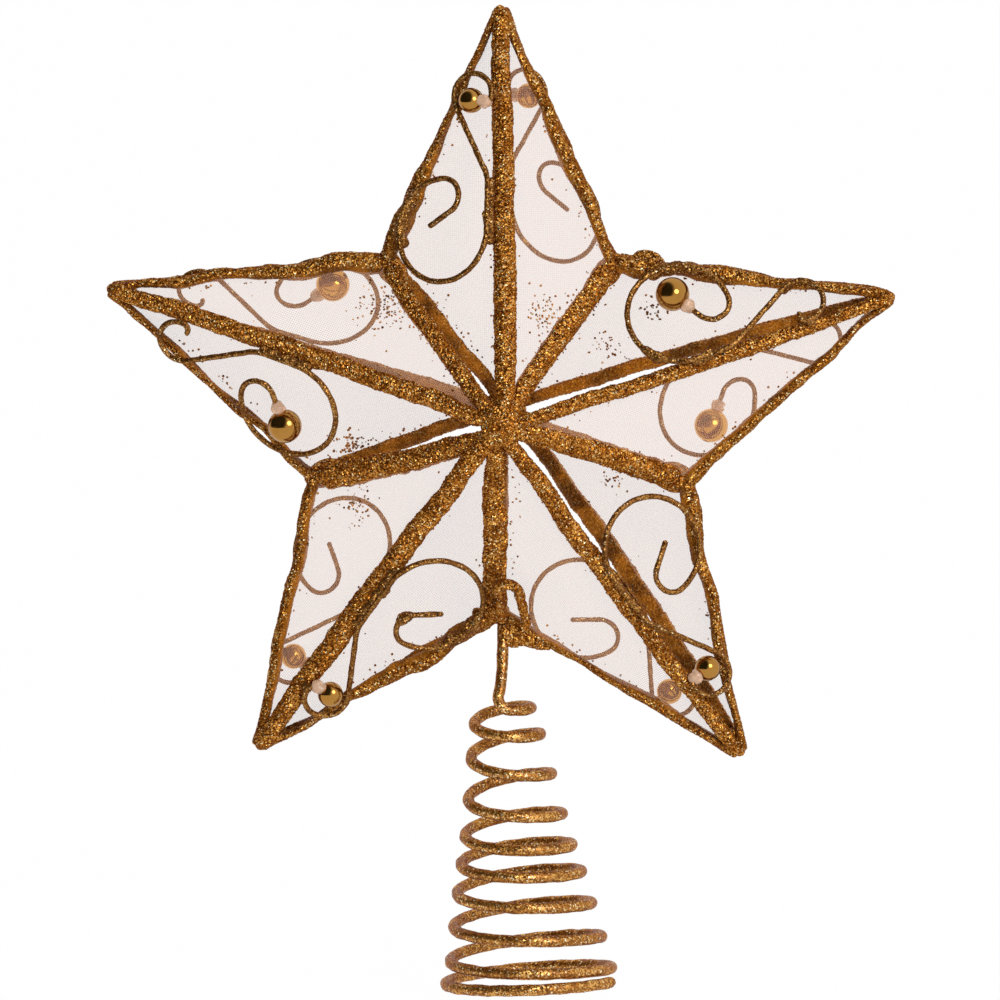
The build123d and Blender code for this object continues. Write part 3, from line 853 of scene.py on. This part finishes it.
# Spring, stem and hook: one wire, wound left-handed into a cone and hooked into the bottom corner
spring = Sizes(
    wire=2.7, height=65.4, topRadius=6.4, bottomRadius=20.8,
    # share of the height that each turn drops, top first
    turnDrops=[0.098, 0.145, 0.147, 0.115, 0.098, 0.116, 0.123, 0.116, 0.042],
    short=0.05,  # the wire stops this far before a whole turn
    points=1600,
    lean=5.7, tilt=3.0, nodTop=8.0, nodBottom=-3.0, foot=-0.19,
    stemRise=22.8, starSide=-0.9, stemSide=0.8, stemSlope=0.24, stemRun=12.0,
    coat=Sizes(step=0.36, sides=26, lump=0.03, spacing=7.0, grain=0.02),
)
spring.turns = len(spring.turnDrops) - spring.short
springAxis = np.array([-math.sin(math.radians(spring.lean)), 0, math.cos(math.radians(spring.lean))])
stemCorner = springAxis * spring.height + np.array([spring.starSide, 0, spring.stemRise])


# share of the height dropped since the top turn: a cubic over each turn that meets its neighbours' slopes
def springDrop(turn):
    drops = np.array(spring.turnDrops)
    last = len(drops) - 1
    passed = np.concatenate([[0], np.cumsum(drops)[:-1]])
    slopes = np.concatenate([drops[:1], (drops[:-1] + drops[1:]) / 2, [0]])
    at = np.clip(np.floor(turn).astype(int), 0, last)
    part = turn - at
    drop, begin, end = drops[at], slopes[at], slopes[at + 1]
    bent = part * (begin + part * (3 * drop - 2 * begin - end + part * (begin + end - 2 * drop)))
    return np.where(turn < 0, begin * turn, passed[at] + bent)


# a cone helix: down the axis by the drops and out by the taper, each turn tilted and nodding
def springPoints(turn):
    share = turn / spring.turns
    height = spring.height * (1 - springDrop(turn))
    radius = spring.topRadius + (spring.bottomRadius - spring.topRadius) * np.maximum(share, 0)
    tilt = math.radians(spring.tilt)
    nod = np.radians(spring.nodTop + (spring.nodBottom - spring.nodTop) * share)
    side = np.array([math.cos(tilt), 0, math.sin(tilt)]) * np.cos(2 * np.pi * turn)[:, None]
    fore = np.stack([np.zeros(len(turn)), np.cos(nod), np.sin(nod)], 1) * np.sin(2 * np.pi * turn)[:, None]
    return springAxis * height[:, None] + (side + fore) * radius[:, None], side + fore


# an arc from a point along its direction to another point
def arcFrom(begin, way, end):
    chord = end - begin
    half = math.acos(np.clip(unit(chord) @ way, -1, 1))
    bow = unit(chord - (chord @ way) * way)
    radius = np.linalg.norm(chord) / (2 * math.sin(half))
    angle = np.linspace(0, 2 * half, 24)[:, None]
    return begin + radius * (np.sin(angle) * way + (1 - np.cos(angle)) * bow)


def makeSpring():
    rng = np.random.default_rng(71)
    turns = np.linspace(spring.foot, spring.turns, spring.points)
    coil, outward = springPoints(turns)
    stemStart = stemCorner + np.array([spring.stemSide, 0, 0])
    stemWay = unit([0, -spring.stemSlope, -1])
    stemEnd = stemStart + stemWay * spring.stemRun
    foot, footWay = coil[0], unit(coil[1] - coil[0])
    chord, both = foot - stemEnd, stemWay + footWay
    spread = 2 * (1 - stemWay @ footWay)
    reach = (math.sqrt((chord @ both) ** 2 + spread * (chord @ chord)) - chord @ both) / spread
    first, second = stemEnd + stemWay * reach, foot - footWay * reach
    half = (first + second) / 2
    bend = np.concatenate([arcFrom(stemEnd, stemWay, half), arcFrom(half, unit(second - first), foot)])
    path = np.concatenate([[stemStart], bend, coil[1:]])
    side = np.concatenate([np.tile([0.0, -1.0, 0.0], (len(bend) + 1, 1)), outward[1:]])
    radius = spring.wire / 2
    grid = coatedWire(rng, path, side, radius, radius, spring.coat)
    piece = addPiece(
        closedMesh("spring_and_stem", [grid]), springGlitter, None,
        ["tree_spring", "stem_wire"], smooth=True,
    )
    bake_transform(piece)


# Hook: the stem's end bent over in front of the mesh beside the bottom valley, in lumps of glue
hook = Sizes(
    halfWidths=[1.15, 1.15, 1.2, 1.25, 1.2, 1.1, 1.1], offset=1.4, bend=2.6, rise=9.3,
    foot=-1.0, end=-0.9, spread=1.0, stand=2.1, lean=10.0,
    coat=Sizes(step=0.3, sides=24, lump=0.06, spacing=3.5, grain=0.06),
    ball=(2.0, 2.6, 3.0), ballRough=(0.08, 0.08),
    web=[(-0.2, -1.4, -4.6), (2.4, -1.4, -4.7), (5.2, -1.3, -5.1), (8.6, -1.1, -6.6), (12.2, -0.9, -8.2)],
    webHalves=[3.5, 3.2, 2.4, 1.5, 0.5], webDepth=1.8, webSide=(0.5, 0, 0.87),
)


def makeHook():
    rng = np.random.default_rng(73)
    valleyLine = unit(hubFront - cornerRightFront)
    toTip = tipFront - cornerRightFront
    across = unit(toTip - (toTip @ valleyLine) * valleyLine)
    outward = np.cross(across, valleyLine)
    lean = math.radians(hook.lean)
    rise = valleyLine * math.cos(lean) + outward * math.sin(lean)
    far = hook.offset + 2 * hook.bend
    bow = arcPoints([hook.offset + hook.bend, hook.rise], hook.bend, 180, -180)
    flat = np.concatenate([[[hook.offset, hook.foot]], bow, [[far + hook.spread, hook.end]]])
    path = cornerRightFront + outward * hook.stand + flat[:, :1] * across + flat[:, 1:] * rise
    halves = np.array(hook.halfWidths)
    loop = coatedWire(rng, path, np.cross(across, rise), halves, halves, hook.coat)
    ball = blob(rng, stemCorner, outFront, (1, 0, 0), hook.ball, hook.ballRough)
    web = stemCorner + np.array(hook.web)
    web = coatedWire(rng, web, hook.webSide, hook.webHalves, hook.webDepth, hook.coat)
    grids = [onArm(loop, armsFront.index("lower_right")), ball, web]
    addPiece(closedMesh("hook_and_glue", grids), glueGlitter, nodes=["stem_hook"])


makeSpring()
makeHook()
print("spring wound")

# Stray flakes: small six-sided plates lying on the mesh, beside the wires and in drifts
stray = Sizes(
    perPanel=90, size=0.24, vary=(0.55, 1.45), thick=0.05, above=0.12, tilt=0.35,
    band=2.5, outlineBand=1.5, spread=0.7,  # distances from the wires
    ridge=(0.3, 0.93), valley=(0.1, 0.85), edge=(0.3, 0.95),  # shares of the wires' lengths
    picks=(0.25, 0.55),  # below the first beside the ridge, below the second beside the valley
    margin=0.04, farthest=0.97,
    drifts=[  # shares of the ways to the hub and to the corner, spread, count, size
        ("front_left", 0.27, 0.61, 3.4, 150, 1.0), ("front_top", 0.49, 0.4, 2.6, 90, 1.0),
        ("front_lower_left", 0.29, 0.56, 2.6, 70, 1.0), ("back_right", 0.54, 0.28, 2.4, 40, 1.0),
        ("back_right", 0.25, 0.51, 1.8, 30, 1.2), ("back_lower_right", 0.43, 0.46, 2.2, 40, 1.0),
        ("back_left", 0.25, 0.69, 2.0, 90, 1.2),
    ],
)


def makeStrayFlakes():
    rng = np.random.default_rng(91)
    count = stray.perPanel
    middles, ups, scales = [], [], []
    for half, arms in starHalves:
        for index, arm in enumerate(arms):
            begin, toHub, toCorner, normal = panelFrame(half, index)
            valley, along = toHub - toCorner, unit(toHub)
            inRidge = np.cross(along, normal)
            wires = [
                (begin, toHub, stray.ridge, inRidge, stray.band),
                (begin + toCorner, valley, stray.valley, -np.cross(unit(valley), normal), stray.band),
                (begin, toCorner, stray.edge, -np.cross(unit(toCorner), normal), stray.outlineBand),
            ]
            off = rng.exponential(stray.spread, count)[:, None]
            beside = [
                start + way * rng.uniform(*reach, count)[:, None] + inwards * (band + off)
                for start, way, reach, inwards, band in wires
            ]
            pick = rng.random(count)[:, None]
            spots = np.where(pick < stray.picks[1], beside[1], beside[2])
            spots = np.where(pick < stray.picks[0], beside[0], spots)
            scale = np.ones(count)
            for name, hubShare, cornerShare, spread, more, size in stray.drifts:
                if name == f"{half}_{arm}":
                    heart = begin + toHub * hubShare + toCorner * cornerShare
                    ways = rng.normal(0, spread, (2, more, 1))
                    spots = np.concatenate([spots, heart + inRidge * ways[0] + along * ways[1]])
                    scale = np.concatenate([scale, np.full(more, size)])
            share = np.linalg.solve(np.stack([toHub, toCorner, normal], 1), (spots - begin).T)
            inside = (share[:2].min(0) > stray.margin) & (share[0] + share[1] < stray.farthest)
            above = rng.choice([-stray.above, stray.above], inside.sum())
            middles.append(spots[inside] + normal * above[:, None])
            ups.append(np.tile(normal, (inside.sum(), 1)))
            scales.append(scale[inside])
    middles, ups, scales = (np.concatenate(rows) for rows in (middles, ups, scales))
    count = len(middles)
    up = unit(ups + rng.normal(0, stray.tilt, (count, 3)))
    side = unit(np.cross(up, rng.normal(0, 1, (count, 3))))
    third = np.cross(up, side)
    sizes = stray.size * scales * rng.uniform(*stray.vary, count)
    around = np.arange(6) * np.pi / 3
    rim = side[:, None] * np.cos(around)[:, None] + third[:, None] * np.sin(around)[:, None]
    rim = rim * sizes[:, None, None]
    thick = up[:, None] * stray.thick
    points = np.concatenate([middles[:, None] + rim - thick, middles[:, None] + rim + thick], 1)
    base = np.arange(count)[:, None] * 12
    ring = np.arange(6)
    walls = np.stack([ring, (ring + 1) % 6, (ring + 1) % 6 + 6, ring + 6], 1).ravel()
    quads = (base + walls).reshape(-1, 4)
    plates = np.concatenate([base + ring[::-1], base + ring + 6])
    spatter = np.repeat(scales > 1, 12)  # the larger ones are spatters of amber glue
    mesh = rawMesh("stray_flakes", points.reshape(-1, 3), [quads, plates], spatter)
    addPiece(mesh, glueGlitter)
    return count


print("stray flakes:", makeStrayFlakes())

# Stage: white floor and surround, a soft key light from the front right, a fill and a dark card
stage = Sizes(
    floor=-2.9, floorSize=4000.0, floorGlow=0.985, surround=0.85,
    lamps=[  # name, power, size, place in metres
        ("key", 4.3, 0.5, (0.55, -0.75, 0.55)), ("fill", 0.15, 0.8, (-0.8, -0.6, 0.3)),
    ],
)


# one for a ray from the camera, from a reflection or through something clear
def seenNode(tree):
    path = addNode(tree, "ShaderNodeLightPath").outputs
    seen = mathNode(tree, "MAXIMUM", path["Is Camera Ray"], path["Is Glossy Ray"])
    return mathNode(tree, "MAXIMUM", seen, path["Is Transmission Ray"])


# a flat square of the stage, reaching its size from its middle each way
def stageSquare(name, middle, size, side, rise, material):
    corners = np.array([[-1, -1], [1, -1], [1, 1], [-1, 1]]) * size
    points = middle + corners[:, :1] * side + corners[:, 1:] * rise
    mesh = rawMesh(name, points, [np.array([[0, 1, 2, 3]])])
    mesh.materials.append(material)
    thing = bpy.data.objects.new(name, mesh)
    scene.collection.objects.link(thing)
    return thing


def makeFloor():
    material, tree, shader = newMaterial("white_paper")
    feed(tree, shader, {"Base Color": (0.9, 0.9, 0.9, 1), "Roughness": 0.9})
    glow = addNode(tree, "ShaderNodeEmission", inputs={"Color": (1, 1, 1, 1), "Strength": 1.0})
    seen = mathNode(tree, "MULTIPLY", seenNode(tree), stage.floorGlow)
    mixSurface(tree, seen, shader.outputs[0], glow.outputs[0])
    middle, side, rise = np.array([[0, 0, stage.floor], [1, 0, 0], [0, 1, 0]])
    stageSquare("white_floor", middle, stage.floorSize, side, rise, material)


def makeSurround():
    world = bpy.data.worlds.new("white_studio")
    world.use_nodes = True
    scene.world = world
    tree = world.node_tree
    soft = tree.nodes["Background"]
    feed(tree, soft, {"Color": (1.0, 0.985, 0.97, 1), "Strength": stage.surround})
    white = addNode(tree, "ShaderNodeBackground", inputs={"Color": (1, 1, 1, 1), "Strength": 1.0})
    mixSurface(tree, seenNode(tree), soft.outputs[0], white.outputs[0], "World Output")


# the direction out to an azimuth, counted from straight in front, and an elevation
def outTo(azimuth, elevation):
    angle, height = math.radians(azimuth), math.radians(elevation)
    level = np.array([math.sin(angle), -math.cos(angle), 0]) * math.cos(height)
    return level + np.array([0, 0, math.sin(height)])


# a dark card up on the left, fading out at its rim and seen only in reflections
card = Sizes(azimuth=-52.0, elevation=24.0, away=800.0, size=2400.0, dark=800.0, rim=2100.0)


def makeCard():
    way = outTo(card.azimuth, card.elevation)
    side = unit(np.cross(way, [0, 0, 1]))
    spot = centre + way * card.away
    material, tree, shader = newMaterial("dark_felt")
    place = addNode(tree, "ShaderNodeTexCoord").outputs["Object"]
    away = addNode(
        tree, "ShaderNodeVectorMath", {"operation": "DISTANCE"}, {0: place, 1: tuple(spot * metre)}
    )
    dark = rampNode(tree, away.outputs["Value"], card.dark * metre, card.rim * metre, 1.0, 0.0)
    feed(tree, shader, {"Base Color": (0.02, 0.02, 0.02, 1), "Roughness": 0.9, "Alpha": dark})
    thing = stageSquare("dark_card", spot, card.size, side, np.cross(side, way), material)
    for kind in ("camera", "diffuse", "transmission", "shadow"):
        setattr(thing, "visible_" + kind, False)


def aimAt(thing, target):
    away = thing.location - Vector(target)
    thing.rotation_euler = away.to_track_quat("Z", "Y").to_euler()


def makeLamp(name, power, size, place):
    lamp = bpy.data.lights.new(name, "AREA")
    lamp.energy = power
    lamp.shape = "DISK"
    lamp.size = size
    thing = bpy.data.objects.new(name, lamp)
    thing.location = place
    scene.collection.objects.link(thing)
    aimAt(thing, tuple(centre * metre))


# the photograph's view: a long lens a little to the right of straight on and a little above
view = Sizes(
    azimuth=5.3, elevation=6.9, distance=4.0, across=0.2353, sensor=36.0, below=19.2,
    farthest=20,
)


def makeCamera():
    target = (centre - np.array([0, 0, view.below])) * metre
    lens = bpy.data.cameras.new("long_lens")
    lens.sensor_width = view.sensor
    lens.lens = view.sensor * view.distance / view.across
    lens.clip_end = view.farthest
    camera = bpy.data.objects.new("long_lens", lens)
    camera.location = target + outTo(view.azimuth, view.elevation) * view.distance
    scene.collection.objects.link(camera)
    aimAt(camera, tuple(target))
    scene.camera = camera


makeFloor()
makeSurround()
makeCard()
for lamp in stage.lamps:
    makeLamp(*lamp)
makeCamera()
scene.view_settings.view_transform = "Standard"
print("stage set")
